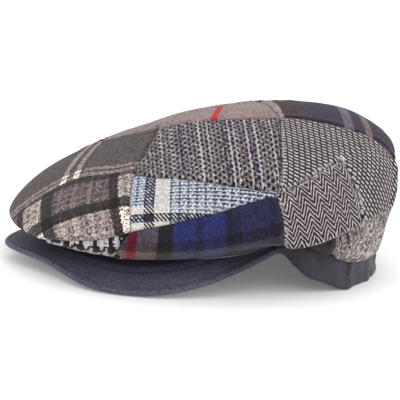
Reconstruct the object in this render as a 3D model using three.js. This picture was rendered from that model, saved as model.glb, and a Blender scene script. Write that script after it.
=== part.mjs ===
import * as THREE from 'three'

// Patchwork tweed flat cap with a leather peak and a leather band round the back.
// Millimetres, +Z up. Front of the cap looks to -Y, the wearer's left is +X.
// Shapes are drawn round the head's centre and moved to the middle of the box at the end.

// Head opening
const HEAD_WIDTH = 165
const HEAD_LENGTH = 195

// Crown, measured from the head's centre
const CROWN_WIDTH = 203.7
const CROWN_FRONT = 151.3
const CROWN_REAR = 109.2
const CROWN_HEIGHT = 110.4
const HEM_FRONT = 133.1
const HEM_POINT = 1.54
const CLOTH = 2
const SEAM_GAP = 0.5
const SEAT_GAP = 0.3
const BACK_SINK = 1.5

// Peak, a curved leaf of leather over a stiff board
const PEAK_REACH = 163.7
const PEAK_WIDTH = 176.5
const PEAK_THICK = 3.6
const PEAK_RISE = 42
const PEAK_CURL = 0.76
const PEAK_ARCH = 22.9
const ARCH_POWER = 2.23
const RIM_ROUND = 1.1

// Band round the back of the head
const BAND_THICK = 2
const BAND_TOP_REAR = 16
const BAND_LIFT = 30.2

// Mesh density
const CELL = 9
const BACK_ROWS = 5
const PEAK_STEPS = 44
const PEAK_ROWS = 7
const BAND_STEPS = 40
const BAND_ROWS = 3

// Half outline of the peak from the tip to the temple, as shares of half the width and of the reach
const PEAK_OUTLINE = [
  { across: 0.0, forward: 1.0 },
  { across: 0.445, forward: 0.877 },
  { across: 0.791, forward: 0.747 },
  { across: 0.98, forward: 0.542 },
  { across: 1.042, forward: 0.326 },
  { across: 1.03, forward: 0.149 },
  { across: 1.0, forward: 0.0 },
]

// Edges of the band from the temple to the back: how far back as a share of the half length,
// the lower edge as a share of the lift at the temple, the upper edge as a share of its rear height
const BAND_EDGES = [
  { back: 0.0, low: 1.0, high: 2.0 },
  { back: 0.06, low: 0.95, high: 2.04 },
  { back: 0.14, low: 0.705, high: 2.06 },
  { back: 0.25, low: 0.42, high: 1.95 },
  { back: 0.4, low: 0.22, high: 1.68 },
  { back: 0.58, low: 0.0, high: 1.25 },
  { back: 0.75, low: 0.0, high: 1.06 },
  { back: 1.0, low: 0.0, high: 1.0 },
]

// Rings of the crown from the fold above the hem to the top. at: share of the way from the top to
// the hem. front, rear, side: shares of the crown's own reaches. mid: where the ring is widest, as a
// share of the front reach. power: 2 is an oval, more is squarer. seat: how much the ring copies the
// ups and downs of the hem. upFront, upSide, upRear: heights as shares of the crown's height.
const RINGS = [
  { at: 0.93, front: 1.033, rear: 0.927, side: 0.916, mid: -0.1, power: 2.1,
    seat: 1.0, upFront: 0.077, upSide: 0.012, upRear: 0.042 },
  { at: 0.83, front: 1.049, rear: 0.934, side: 0.992, mid: -0.14, power: 2.3,
    seat: 0.3, upFront: 0.241, upSide: 0.286, upRear: 0.341 },
  { at: 0.71, front: 0.952, rear: 0.974, side: 0.969, mid: -0.1, power: 2.3,
    seat: 0.0, upFront: 0.432, upSide: 0.549, upRear: 0.601 },
  { at: 0.57, front: 0.783, rear: 0.943, side: 0.849, mid: -0.04, power: 2.2,
    seat: 0.0, upFront: 0.584, upSide: 0.727, upRear: 0.821 },
  { at: 0.42, front: 0.566, rear: 0.807, side: 0.652, mid: 0.01, power: 2.2,
    seat: 0.0, upFront: 0.735, upSide: 0.844, upRear: 0.942 },
  { at: 0.23, front: 0.307, rear: 0.53, side: 0.358, mid: 0.034, power: 2.0,
    seat: 0.0, upFront: 0.917, upSide: 0.957, upRear: 1.018 },
  { at: 0.0, front: -0.035, rear: 0.048, side: 0.0, mid: 0.035, power: 2.0,
    seat: 0.0, upFront: 1.0, upSide: 1.0, upRear: 1.0 },
]

// Small tools
const mix = (a, b, t) => a + (b - a) * t
const clamp = (v, lo, hi) => Math.min(hi, Math.max(lo, v))
const signedPower = (v, p) => Math.sign(v) * Math.abs(v) ** p

function smoothRow(rows, t) {
  const last = rows.length - 1
  const f = clamp(t, 0, last)
  const i = Math.min(Math.floor(f), last - 1)
  const k = f - i
  const value = {}
  for (const key of Object.keys(rows[0])) {
    const p1 = rows[i][key]
    const p2 = rows[i + 1][key]
    const p0 = i > 0 ? rows[i - 1][key] : 2 * p1 - p2
    const p3 = i < last - 1 ? rows[i + 2][key] : 2 * p2 - p1
    const slope = (p2 - p0) * k
    const bend = (2 * p0 - 5 * p1 + 4 * p2 - p3) * k * k
    const twist = (-p0 + 3 * p1 - 3 * p2 + p3) * k ** 3
    value[key] = 0.5 * (2 * p1 + slope + bend + twist)
  }
  return value
}

function rowAt(rows, key, v) {
  let i = 0
  while (i < rows.length - 2 && v > rows[i + 1][key]) i++
  const span = rows[i + 1][key] - rows[i][key]
  return i + clamp((v - rows[i][key]) / span, 0, 1)
}

// Peak surface
function peakShape(x, y) {
  const back = (y + PEAK_REACH) / PEAK_REACH
  const rise = PEAK_RISE * ((1 - PEAK_CURL) * back + PEAK_CURL * back * back)
  return rise - PEAK_ARCH * Math.abs((2 * x) / PEAK_WIDTH) ** ARCH_POWER
}

// Outline of both halves, so that it runs smoothly through the tip
const PEAK_ROUND = [
  ...PEAK_OUTLINE.slice(1).reverse().map(({ across, forward }) => ({ across: -across, forward })),
  ...PEAK_OUTLINE,
]

function peakEdge(t) {
  const row = smoothRow(PEAK_ROUND, (t + 1) * (PEAK_OUTLINE.length - 1))
  return [(row.across * PEAK_WIDTH) / 2, -row.forward * PEAK_REACH]
}

function peakNormal(x, y) {
  const d = 0.05
  const dx = (peakShape(x + d, y) - peakShape(x - d, y)) / (2 * d)
  const dy = (peakShape(x, y + d) - peakShape(x, y - d)) / (2 * d)
  return new THREE.Vector3(-dx, -dy, 1).normalize()
}

// One line of points across the peak, from the head opening to the rim, above and below
function peakLine(step, height) {
  const t = (2 * step) / PEAK_STEPS - 1
  const angle = (t * Math.PI) / 2
  const innerX = (HEAD_WIDTH / 2) * Math.sin(angle)
  const innerY = (-HEAD_LENGTH / 2) * Math.cos(angle)
  const [outerX, outerY] = peakEdge(t)
  const rim = RIM_ROUND / Math.hypot(outerX - innerX, outerY - innerY)
  const at = (share, depth) => {
    const x = mix(innerX, outerX, share)
    const y = mix(innerY, outerY, share)
    const point = new THREE.Vector3(x, y, height(x, y))
    point.addScaledVector(peakNormal(x, y), -depth)
    point.y = Math.min(0, point.y)
    return point
  }
  const over = []
  const under = []
  for (let j = 0; j <= PEAK_ROWS; j++) {
    over.push(at((j / PEAK_ROWS) * (1 - rim), 0))
    under.push(at((j / PEAK_ROWS) * (1 - rim), PEAK_THICK))
  }
  over.push(at(1, PEAK_THICK * 0.35))
  under.push(at(1, PEAK_THICK * 0.75))
  return { over, under }
}

// The peak is set so that the lowest point of its underside is on the floor
function peakFloor() {
  let low = Infinity
  for (let i = PEAK_STEPS / 2; i <= PEAK_STEPS; i++) {
    const line = peakLine(i, peakShape)
    for (const point of line.under) low = Math.min(low, point.z)
  }
  return low
}
const PEAK_SET = -peakFloor()
const peakTop = (x, y) => PEAK_SET + peakShape(x, y)

// Band edges against the distance behind the temple
const BAND_SIDE = HEAD_WIDTH / 2 + BAND_THICK
const BAND_BACK = HEAD_LENGTH / 2 + BAND_THICK
const TEMPLE_TOP = peakTop(BAND_SIDE, 0)

function bandEdges(y) {
  const row = smoothRow(BAND_EDGES, rowAt(BAND_EDGES, 'back', y / BAND_BACK))
  const start = BAND_EDGES[0].high
  const top = mix(BAND_TOP_REAR, TEMPLE_TOP, (row.high - 1) / (start - 1))
  return { low: Math.max(0, row.low * BAND_LIFT), high: top }
}

// What the hem of the crown sits on, with the small gap left between
function seatHeight(x, y) {
  return SEAT_GAP + (y < 0 ? peakTop(x, y) : bandEdges(y).high)
}

// Crown surface over a round map: s is 0 at the top and 1 at the hem, angle 0 is the front
const HEM = {
  at: 1, front: HEM_FRONT, rear: BAND_BACK, side: BAND_SIDE, mid: 0,
  powerFront: HEM_POINT, powerRear: 2, seat: 1, upFront: 0, upSide: 0, upRear: 0,
}
const CROWN_ROWS = [HEM, ...RINGS.map((ring) => ({
  at: ring.at,
  front: ring.front * CROWN_FRONT,
  rear: ring.rear * CROWN_REAR,
  side: (ring.side * CROWN_WIDTH) / 2,
  mid: ring.mid * CROWN_FRONT,
  powerFront: ring.power,
  powerRear: ring.power,
  seat: ring.seat,
  upFront: ring.upFront * CROWN_HEIGHT,
  upSide: ring.upSide * CROWN_HEIGHT,
  upRear: ring.upRear * CROWN_HEIGHT,
}))].reverse()

function ringPlan(row, angle) {
  const c = Math.cos(angle)
  const s = Math.sin(angle)
  const power = c > 0 ? row.powerFront : row.powerRear
  const x = row.side * signedPower(s, 2 / power)
  const reach = c > 0 ? row.front + row.mid : row.rear - row.mid
  return [x, row.mid - reach * signedPower(c, 2 / power)]
}

function crownAt(u, v) {
  const s = Math.min(1, Math.hypot(u, v))
  const angle = Math.atan2(u, -v)
  const row = smoothRow(CROWN_ROWS, rowAt(CROWN_ROWS, 'at', s))
  const [x, y] = ringPlan(row, angle)
  const c = Math.cos(angle)
  const side = Math.sin(angle) ** 2
  const middle = (row.upFront + row.upRear) / 2
  let z = middle + ((row.upFront - row.upRear) / 2) * c + (row.upSide - middle) * side
  if (row.seat !== 0) {
    const [hemX, hemY] = ringPlan(HEM, angle)
    z += row.seat * seatHeight(hemX, hemY)
  }
  return new THREE.Vector3(x, y, z)
}

function crownNormal(u, v) {
  const s = Math.max(0.02, Math.min(0.995, Math.hypot(u, v)))
  const angle = Math.atan2(u, -v)
  const at = (ds, da) => {
    const r = clamp(s + ds, 0.001, 1)
    return crownAt(r * Math.sin(angle + da), -r * Math.cos(angle + da))
  }
  const down = at(0.004, 0).sub(at(-0.004, 0))
  const round = at(0, 0.02).sub(at(0, -0.02))
  return down.cross(round).normalize()
}

// Where the seams meet the hem, in degrees round from the front
const PLAID_END = 17
const SLIVER_END = 48.8
const BLUE_END = 97.8
const DARK_END = 116.4

// Seams of the near side on the map, across to the wearer's left and back from the front
const hemPoint = (degrees) => {
  const a = (degrees * Math.PI) / 180
  return [Math.sin(a), -Math.cos(a)]
}
const hemArc = (from, to) => {
  const points = []
  const steps = Math.ceil(Math.abs(to - from) / 3)
  for (let i = 0; i <= steps; i++) points.push(hemPoint(mix(from, to, i / steps)))
  return points
}
const SEAM = {
  frontTop: [[0, -0.3], [0.02, -0.312], [0.088, -0.35], [0.212, -0.407], [0.301, -0.424]],
  frontLow: [[0.301, -0.424], [0.358, -0.436], [0.453, -0.44], [0.573, -0.435], [0.637, -0.427]],
  sliver: [[0.637, -0.427], [0.601, -0.53], [0.546, -0.612], [0.468, -0.71], [0.379, -0.827],
    hemPoint(PLAID_END)],
  cheek: [[0.637, -0.427], [0.75, -0.568], hemPoint(SLIVER_END)],
  plaidTop: [[0.637, -0.427], [0.677, -0.285], [0.68, -0.141], [0.643, -0.006], [0.641, 0.017]],
  checkTop: [[0.301, -0.424], [0.405, -0.333], [0.535, -0.175], [0.609, -0.03], [0.617, 0.016]],
  tip: [[0.617, 0.016], [0.641, 0.017]],
  temple: [[0.641, 0.017], [0.722, 0.057], [0.798, 0.098], [0.925, 0.136]],
  templeLow: [[0.925, 0.136], hemPoint(BLUE_END)],
  middle: [[0.153, 0.041], [0.392, 0.008], [0.617, 0.016]],
  ridgeFront: [[0.02, -0.312], [0.047, -0.24], [0.098, -0.16], [0.126, -0.058], [0.153, 0.041]],
  ridgeRear: [[0.153, 0.041], [0.223, 0.189], [0.257, 0.319], [0.278, 0.439], [0.294, 0.548]],
  boneTop: [[0.641, 0.017], [0.546, 0.13], [0.46, 0.213]],
  boneRear: [[0.46, 0.213], [0.554, 0.31], [0.64, 0.447]],
  foldLow: [[0.925, 0.136], [0.85, 0.228], [0.783, 0.301], [0.716, 0.373]],
  foldMid: [[0.716, 0.373], [0.64, 0.447]],
  foldRear: [[0.64, 0.447], [0.527, 0.553], [0.42, 0.638], [0.294, 0.548]],
  backEdge: [[0.294, 0.548], [0, 0.575]],
  patchRear: [[0.716, 0.373], hemPoint(DARK_END)],
  strip: [[0.153, 0.041], [0, 0.045]],
}
const back = (line) => [...line].reverse()
const mirror = (line) => line.map(([u, v]) => [-u, v])
const join = (...lines) => lines.flatMap((line, i) => (i ? line.slice(1) : line))

function lengths(line) {
  const sums = [0]
  for (let i = 1; i < line.length; i++) {
    const du = line[i][0] - line[i - 1][0]
    const dv = line[i][1] - line[i - 1][1]
    sums.push(sums[i - 1] + Math.hypot(du, dv))
  }
  return sums
}
function along(line, t) {
  const sums = line.sums ?? (line.sums = lengths(line))
  const want = clamp(t, 0, 1) * sums[sums.length - 1]
  let i = 1
  while (i < sums.length - 1 && sums[i] < want) i++
  const k = (want - sums[i - 1]) / (sums[i] - sums[i - 1])
  return [mix(line[i - 1][0], line[i][0], k), mix(line[i - 1][1], line[i][1], k)]
}

// A four-sided patch of the map: top and bottom run from the left side to the right side
function patchPoint({ top, bottom, left, right }, a, b) {
  const t = along(top, a)
  const d = along(bottom, a)
  const l = along(left, b)
  const r = along(right, b)
  const c00 = along(top, 0)
  const c10 = along(top, 1)
  const c01 = along(bottom, 0)
  const c11 = along(bottom, 1)
  return [0, 1].map((k) => {
    const ruled = mix(t[k], d[k], b) + mix(l[k], r[k], a)
    return ruled - mix(mix(c00[k], c10[k], a), mix(c01[k], c11[k], a), b)
  })
}

// Closed skin between an outer and an inner grid of points
function shell(outer, inner) {
  const rows = outer.length
  const columns = outer[0].length
  const points = [...outer.flat(), ...inner.flat()]
  const half = rows * columns
  const id = (i, j, side) => side * half + i * columns + j
  const faces = []
  const quad = (a, b, c, d) => faces.push([a, b, c], [a, c, d])
  for (let i = 0; i < rows - 1; i++) {
    for (let j = 0; j < columns - 1; j++) {
      quad(id(i, j, 0), id(i, j + 1, 0), id(i + 1, j + 1, 0), id(i + 1, j, 0))
      quad(id(i, j, 1), id(i + 1, j, 1), id(i + 1, j + 1, 1), id(i, j + 1, 1))
    }
  }
  for (let j = 0; j < columns - 1; j++) {
    quad(id(0, j + 1, 0), id(0, j, 0), id(0, j, 1), id(0, j + 1, 1))
    quad(id(rows - 1, j, 0), id(rows - 1, j + 1, 0), id(rows - 1, j + 1, 1), id(rows - 1, j, 1))
  }
  for (let i = 0; i < rows - 1; i++) {
    quad(id(i, 0, 0), id(i + 1, 0, 0), id(i + 1, 0, 1), id(i, 0, 1))
    quad(id(i + 1, columns - 1, 0), id(i, columns - 1, 0), id(i, columns - 1, 1),
      id(i + 1, columns - 1, 1))
  }
  return solid(points, faces)
}

function solid(points, faces) {
  let volume = 0
  for (const [a, b, c] of faces) {
    volume += points[a].dot(new THREE.Vector3().crossVectors(points[b], points[c]))
  }
  const index = volume < 0 ? faces.map(([a, b, c]) => [a, c, b]) : faces
  const geometry = new THREE.BufferGeometry()
  const flat = points.flatMap((p) => [p.x, p.y, p.z])
  geometry.setAttribute('position', new THREE.Float32BufferAttribute(flat, 3))
  geometry.setIndex(index.flat())
  geometry.computeVertexNormals()
  return geometry
}

// Length of one grid line of a patch in millimetres
function lineLength(patch, fixed, value) {
  let sum = 0
  let last = null
  for (let i = 0; i <= 12; i++) {
    const [a, b] = fixed === 'b' ? [i / 12, value] : [value, i / 12]
    const point = crownAt(...patchPoint(patch, a, b))
    if (last) sum += point.distanceTo(last)
    last = point
  }
  return sum
}

// Share of a grid line taken off at one end, so that the seam gap is even across slanting seams
function edgeShare(patch, a, b, length, fixed) {
  const d = 0.01
  const at = (x, y) => crownAt(...patchPoint(patch, clamp(x, 0, 1), clamp(y, 0, 1)))
  const alongA = at(a + d, b).sub(at(a - d, b))
  const alongB = at(a, b + d).sub(at(a, b - d))
  const slant = new THREE.Vector3().crossVectors(alongA, alongB).length()
  const sine = clamp(slant / (alongA.length() * alongB.length()), 0.3, 1)
  const bound = fixed === 'b' ? 0.45 : 0.3
  return Math.min(bound, SEAM_GAP / 2 / (length * sine))
}

// Grid stops along two facing sides: even steps, with a stop at each bend of the seams
const BEND = 0.12
function gridStops(count, ...lines) {
  const bends = []
  for (const line of lines) {
    const sums = lengths(line)
    for (let i = 1; i < line.length - 1; i++) {
      const [ax, ay] = [line[i][0] - line[i - 1][0], line[i][1] - line[i - 1][1]]
      const [bx, by] = [line[i + 1][0] - line[i][0], line[i + 1][1] - line[i][1]]
      const turn = Math.abs(Math.atan2(ax * by - ay * bx, ax * bx + ay * by))
      if (turn > BEND) bends.push(sums[i] / sums[sums.length - 1])
    }
  }
  const stops = [0, 1]
  const clear = (t, gap) => stops.every((other) => Math.abs(other - t) > gap)
  for (const t of bends) if (clear(t, 0.1 / count)) stops.push(t)
  for (let i = 1; i < count; i++) if (clear(i / count, 0.45 / count)) stops.push(i / count)
  return stops.sort((a, b) => a - b)
}

function clothPatch(patch) {
  const across = [0, 0.5, 1].map((b) => lineLength(patch, 'b', b))
  const down = [0, 0.5, 1].map((a) => lineLength(patch, 'a', a))
  const columnCount = Math.max(2, Math.round(Math.max(...across) / CELL))
  const rowCount = patch.rows ?? Math.max(2, Math.round(Math.max(...down) / CELL))
  const columns = gridStops(columnCount, patch.top, patch.bottom)
  const rows = gridStops(rowCount, patch.left, patch.right)
  const outer = []
  const inner = []
  for (const b0 of rows) {
    const line = []
    const under = []
    const rowB = clamp(b0, 0.02, 0.98)
    const width = lineLength(patch, 'b', rowB)
    const left = edgeShare(patch, 0, rowB, width, 'b')
    const right = edgeShare(patch, 1, rowB, width, 'b')
    for (const a0 of columns) {
      const columnA = clamp(a0, 0.02, 0.98)
      const height = lineLength(patch, 'a', columnA)
      const top = edgeShare(patch, columnA, 0, height, 'a')
      const bottom = patch.onHem ? 0 : edgeShare(patch, columnA, 1, height, 'a')
      const a = mix(left, 1 - right, a0)
      const b = mix(top, 1 - bottom, b0)
      const [u, v] = patchPoint(patch, a, b)
      const normal = crownNormal(u, v)
      const sink = (patch.sink ?? 0) * (1 - b0)
      const point = crownAt(u, v).addScaledVector(normal, -sink)
      line.push(point)
      under.push(point.clone().addScaledVector(normal, -CLOTH))
    }
    outer.push(line)
    inner.push(under)
  }
  return shell(outer, inner)
}

// Every patch of cloth: name, colour and its four sides
const halfTop = join(back(SEAM.frontTop))
const PATCHES = {
  front_plaid: {
    color: 0x8b8480, onHem: true,
    top: join(mirror(back(SEAM.frontLow)), mirror(halfTop), SEAM.frontTop, SEAM.frontLow),
    bottom: hemArc(-PLAID_END, PLAID_END),
    left: mirror(SEAM.sliver),
    right: SEAM.sliver,
  },
  ridge_grey: {
    color: 0x978b8b,
    top: [[-0.02, -0.312], [0, -0.3], [0.02, -0.312]],
    bottom: join(mirror(SEAM.strip), back(SEAM.strip)),
    left: mirror(SEAM.ridgeFront),
    right: SEAM.ridgeFront,
  },
  ridge_navy: {
    color: 0x4d5068,
    top: join(mirror(SEAM.strip), back(SEAM.strip)),
    bottom: join(mirror(SEAM.backEdge), back(SEAM.backEdge)),
    left: mirror(SEAM.ridgeRear),
    right: SEAM.ridgeRear,
  },
  back_marl: {
    color: 0x9a9290, onHem: true, sink: BACK_SINK, rows: BACK_ROWS,
    top: join(SEAM.foldMid, SEAM.foldRear, SEAM.backEdge, mirror(back(SEAM.backEdge)),
      mirror(back(SEAM.foldRear)), mirror(back(SEAM.foldMid))),
    bottom: hemArc(DARK_END, 360 - DARK_END),
    left: SEAM.patchRear,
    right: mirror(SEAM.patchRear),
  },
}
const SIDE_PATCHES = {
  houndstooth: {
    color: 0x747074, onHem: true,
    top: back(SEAM.sliver).slice(1),
    bottom: hemArc(PLAID_END, SLIVER_END),
    left: SEAM.sliver.slice(4),
    right: SEAM.cheek,
  },
  blue_plaid: {
    color: 0x313558, onHem: true,
    top: SEAM.plaidTop,
    bottom: hemArc(SLIVER_END, BLUE_END),
    left: SEAM.cheek,
    right: join(SEAM.temple, SEAM.templeLow),
  },
  light_check: {
    color: 0x96969f,
    top: SEAM.checkTop,
    bottom: SEAM.plaidTop,
    left: SEAM.frontLow,
    right: SEAM.tip,
  },
  glen_check: {
    color: 0x797277,
    top: SEAM.ridgeFront,
    bottom: SEAM.checkTop,
    left: SEAM.frontTop.slice(1),
    right: SEAM.middle,
  },
  birdseye: {
    color: 0x7a7173,
    top: SEAM.ridgeRear,
    bottom: join(SEAM.tip, SEAM.boneTop, SEAM.boneRear),
    left: SEAM.middle,
    right: back(SEAM.foldRear),
  },
  herringbone: {
    color: 0x746b6e,
    top: SEAM.boneTop,
    bottom: join(SEAM.foldLow, SEAM.foldMid),
    left: SEAM.temple,
    right: SEAM.boneRear,
  },
  dark_patch: {
    color: 0x3c3338, onHem: true, sink: BACK_SINK, rows: BACK_ROWS,
    top: SEAM.foldLow,
    bottom: hemArc(BLUE_END, DARK_END),
    left: SEAM.templeLow,
    right: SEAM.patchRear,
  },
}

function peakGeometry() {
  const outer = []
  const inner = []
  for (let i = 0; i <= PEAK_STEPS; i++) {
    const line = peakLine(i, peakTop)
    outer.push(line.over)
    inner.push(line.under)
  }
  return shell(outer, inner)
}

function bandGeometry() {
  const outer = []
  const inner = []
  const start = SEAT_GAP / BAND_BACK
  for (let i = 0; i <= BAND_STEPS; i++) {
    const angle = mix(Math.PI / 2 + start, (3 * Math.PI) / 2 - start, i / BAND_STEPS)
    const c = -Math.cos(angle)
    const s = Math.sin(angle)
    const { low, high } = bandEdges(BAND_BACK * c)
    const wall = (depth) => {
      const line = []
      for (let j = 0; j <= BAND_ROWS; j++) {
        const x = (BAND_SIDE - depth) * s
        const y = Math.max(SEAT_GAP, (BAND_BACK - depth) * c)
        line.push(new THREE.Vector3(x, y, mix(low, high, j / BAND_ROWS)))
      }
      return line
    }
    outer.push(wall(0))
    inner.push(wall(BAND_THICK))
  }
  return shell(outer, inner)
}

const group = new THREE.Group()
group.name = 'tweed_flat_cap'
function add(name, geometry, color, roughness) {
  const mesh = new THREE.Mesh(
    geometry, new THREE.MeshStandardMaterial({ color, roughness, metalness: 0 }))
  mesh.name = name
  group.add(mesh)
}

add('peak', peakGeometry(), 0x3a3848, 0.6)
add('back_band', bandGeometry(), 0x3d3a48, 0.5)
for (const [name, patch] of Object.entries(PATCHES)) {
  add(name, clothPatch(patch), patch.color, 0.95)
}
for (const [name, patch] of Object.entries(SIDE_PATCHES)) {
  add(`${name}_left`, clothPatch(patch), patch.color, 0.95)
  const far = { ...patch }
  for (const side of ['top', 'bottom', 'left', 'right']) far[side] = mirror(patch[side])
  add(`${name}_right`, clothPatch(far), patch.color, 0.95)
}

// The origin goes under the middle of the cap's own box, on the floor
const box = new THREE.Box3().setFromObject(group)
for (const mesh of group.children) {
  mesh.geometry.translate(0, -(box.min.y + box.max.y) / 2, -box.min.z)
}

export default group
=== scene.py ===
import math

import bpy
import numpy as np
from mathutils import Matrix, Vector


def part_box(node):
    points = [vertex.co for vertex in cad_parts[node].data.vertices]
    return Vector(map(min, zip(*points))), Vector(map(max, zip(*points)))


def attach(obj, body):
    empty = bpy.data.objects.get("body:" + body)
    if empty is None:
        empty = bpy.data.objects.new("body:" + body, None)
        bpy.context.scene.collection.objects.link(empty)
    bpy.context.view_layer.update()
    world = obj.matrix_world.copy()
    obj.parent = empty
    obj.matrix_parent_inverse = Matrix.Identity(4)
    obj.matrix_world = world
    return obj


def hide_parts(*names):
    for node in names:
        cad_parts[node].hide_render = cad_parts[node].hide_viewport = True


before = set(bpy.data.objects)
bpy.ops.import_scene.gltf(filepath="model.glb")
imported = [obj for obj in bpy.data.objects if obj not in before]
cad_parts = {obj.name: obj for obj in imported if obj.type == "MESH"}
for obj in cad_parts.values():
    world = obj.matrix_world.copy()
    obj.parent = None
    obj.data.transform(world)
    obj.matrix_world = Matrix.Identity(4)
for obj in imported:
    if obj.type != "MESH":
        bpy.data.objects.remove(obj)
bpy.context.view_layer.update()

# Sizes of the crown, peak and band, as in the solids: millimetres, and plain numbers for
# HEM_POINT, PEAK_CURL and ARCH_POWER
HEAD_WIDTH = 165.0
HEAD_LENGTH = 195.0
CROWN_WIDTH = 203.7
CROWN_FRONT = 151.3
CROWN_REAR = 109.2
CROWN_HEIGHT = 110.4
HEM_FRONT = 133.1
HEM_POINT = 1.54
CLOTH = 2.0
SEAT_GAP = 0.3
PEAK_REACH = 163.7
PEAK_WIDTH = 176.5
PEAK_THICK = 3.6
PEAK_RISE = 42.0
PEAK_CURL = 0.76
PEAK_ARCH = 22.9
ARCH_POWER = 2.23
BAND_THICK = 2.0
BAND_TOP_REAR = 16.0
BAND_LIFT = 30.2

# Finish of the sewing in millimetres: how high, how wide, and how far from the seam
CELL = 1.4
SEAM_GAP = 0.2
SEAM_DEPTH = 0.95
SEAM_WIDE = 1.7
SWELL = 0.45
SWELL_AT = 3.6
SWELL_WIDE = 2.4
PUCKER = 0.22
PUCKER_SIZE = 7.5
PUCKER_WIDE = 4.5
HEM_DROP = 0.5
HEM_WIDE = 1.2
FOLD_SWELL = 2.2
FOLD_AT = 2.2
FOLD_WIDE = 3.2
FOLD_EDGE = 2.4
FOLD_EDGE_WIDE = 1.3
FOLD_OVER = 1.6
FOLD_OVER_WIDE = 3.0
FOLD_TUCK = 2.6
FOLD_TUCK_WIDE = 7.0
TUCK_SINK = 1.5
UNEVEN = (
    # height, size, seed step
    (0.35, 46, 0),
    (0.12, 17, 1),
)

# Points in a seam's smooth line for each stretch between two given ones
SPLINE = 6

PEAK_OUTLINE = np.array([
    # across, forward
    (0.0, 1.0),
    (0.445, 0.877),
    (0.791, 0.747),
    (0.98, 0.542),
    (1.042, 0.326),
    (1.03, 0.149),
    (1.0, 0.0),
])
BAND_EDGES = np.array([
    # back, low, high
    (0.0, 1.0, 2.0),
    (0.06, 0.95, 2.04),
    (0.14, 0.705, 2.06),
    (0.25, 0.42, 1.95),
    (0.4, 0.22, 1.68),
    (0.58, 0.0, 1.25),
    (0.75, 0.0, 1.06),
    (1.0, 0.0, 1.0),
])
RINGS = np.array([
    # at, front, rear, side, mid, power, seat, up front, up side, up rear
    (0.93, 1.033, 0.927, 0.916, -0.1, 2.1, 1.0, 0.077, 0.012, 0.042),
    (0.83, 1.049, 0.934, 0.992, -0.14, 2.3, 0.3, 0.241, 0.286, 0.341),
    (0.71, 0.952, 0.974, 0.969, -0.1, 2.3, 0.0, 0.432, 0.549, 0.601),
    (0.57, 0.783, 0.943, 0.849, -0.04, 2.2, 0.0, 0.584, 0.727, 0.821),
    (0.42, 0.566, 0.807, 0.652, 0.01, 2.2, 0.0, 0.735, 0.844, 0.942),
    (0.23, 0.307, 0.53, 0.358, 0.034, 2.0, 0.0, 0.917, 0.957, 1.018),
    (0.0, -0.035, 0.048, 0.0, 0.035, 2.0, 0.0, 1.0, 1.0, 1.0),
])


# Small tools
def mix(a, b, t):
    return a + (b - a) * t


def length(v):
    return np.linalg.norm(v, axis=-1)


def unit(v):
    return v / length(v)[..., None]


def signed_power(v, p):
    return np.sign(v) * np.abs(v) ** p


def hump(distance, width, at=0.0):
    """A smooth bump, 1 high."""
    return np.exp(-(((distance - at) / width) ** 2))


def run_lengths(points):
    """Length along a line of points, or along each row of a grid, up to each point."""
    steps = length(np.diff(points, axis=-2))
    return np.concatenate([np.zeros(steps.shape[:-1] + (1,)), np.cumsum(steps, axis=-1)], -1)


def smooth_rows(rows, t):
    """Rows of a table read at fractional places, by a smooth curve through all of them."""
    last = len(rows) - 1
    f = np.clip(t, 0, last)
    i = np.minimum(np.floor(f).astype(int), last - 1)
    k = (f - i)[..., None]
    padded = np.concatenate([2 * rows[:1] - rows[1:2], rows, 2 * rows[-1:] - rows[-2:-1]])
    p0, p1, p2, p3 = (padded[i + step] for step in range(4))
    bend = 2 * p0 - 5 * p1 + 4 * p2 - p3
    twist = -p0 + 3 * p1 - 3 * p2 + p3
    return 0.5 * (2 * p1 + (p2 - p0) * k + bend * k ** 2 + twist * k ** 3)


def rows_at(keys, v):
    return np.interp(v, keys, np.arange(len(keys)))


# Peak surface
def peak_shape(x, y):
    back = (y + PEAK_REACH) / PEAK_REACH
    rise = PEAK_RISE * ((1 - PEAK_CURL) * back + PEAK_CURL * back ** 2)
    return rise - PEAK_ARCH * np.abs(2 * x / PEAK_WIDTH) ** ARCH_POWER


PEAK_ROUND = np.concatenate([PEAK_OUTLINE[:0:-1] * (-1, 1), PEAK_OUTLINE])


def peak_edge(t):
    row = smooth_rows(PEAK_ROUND, (t + 1) * (len(PEAK_OUTLINE) - 1))
    return row[..., 0] * PEAK_WIDTH / 2, -row[..., 1] * PEAK_REACH


def peak_normal(x, y):
    d = 0.05
    dx = (peak_shape(x + d, y) - peak_shape(x - d, y)) / (2 * d)
    dy = (peak_shape(x, y + d) - peak_shape(x, y - d)) / (2 * d)
    return unit(np.stack([-dx, -dy, np.ones_like(dx)], -1))


def peak_plan(t, share):
    """A place on the peak's plan: t runs from the right temple to the left, share from head to rim."""
    angle = t * math.pi / 2
    outer_x, outer_y = peak_edge(t)
    x = mix(HEAD_WIDTH / 2 * np.sin(angle), outer_x, share)
    y = mix(-HEAD_LENGTH / 2 * np.cos(angle), outer_y, share)
    return x, y


def lowest_underside():
    t, share = np.meshgrid(np.linspace(-1, 1, 45), np.linspace(0, 1, 9), indexing="ij")
    x, y = peak_plan(t, share)
    return (peak_shape(x, y) - PEAK_THICK * peak_normal(x, y)[..., 2]).min()


PEAK_SET = -lowest_underside()


def peak_top(x, y):
    return PEAK_SET + peak_shape(x, y)


# Band edges
BAND_SIDE = HEAD_WIDTH / 2 + BAND_THICK
BAND_BACK = HEAD_LENGTH / 2 + BAND_THICK
TEMPLE_TOP = float(peak_top(np.array(BAND_SIDE), np.array(0.0)))


def band_edges(y):
    row = smooth_rows(BAND_EDGES, rows_at(BAND_EDGES[:, 0], y / BAND_BACK))
    start = BAND_EDGES[0, 2]
    top = mix(BAND_TOP_REAR, TEMPLE_TOP, (row[..., 2] - 1) / (start - 1))
    return np.maximum(0, row[..., 1] * BAND_LIFT), top


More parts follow.
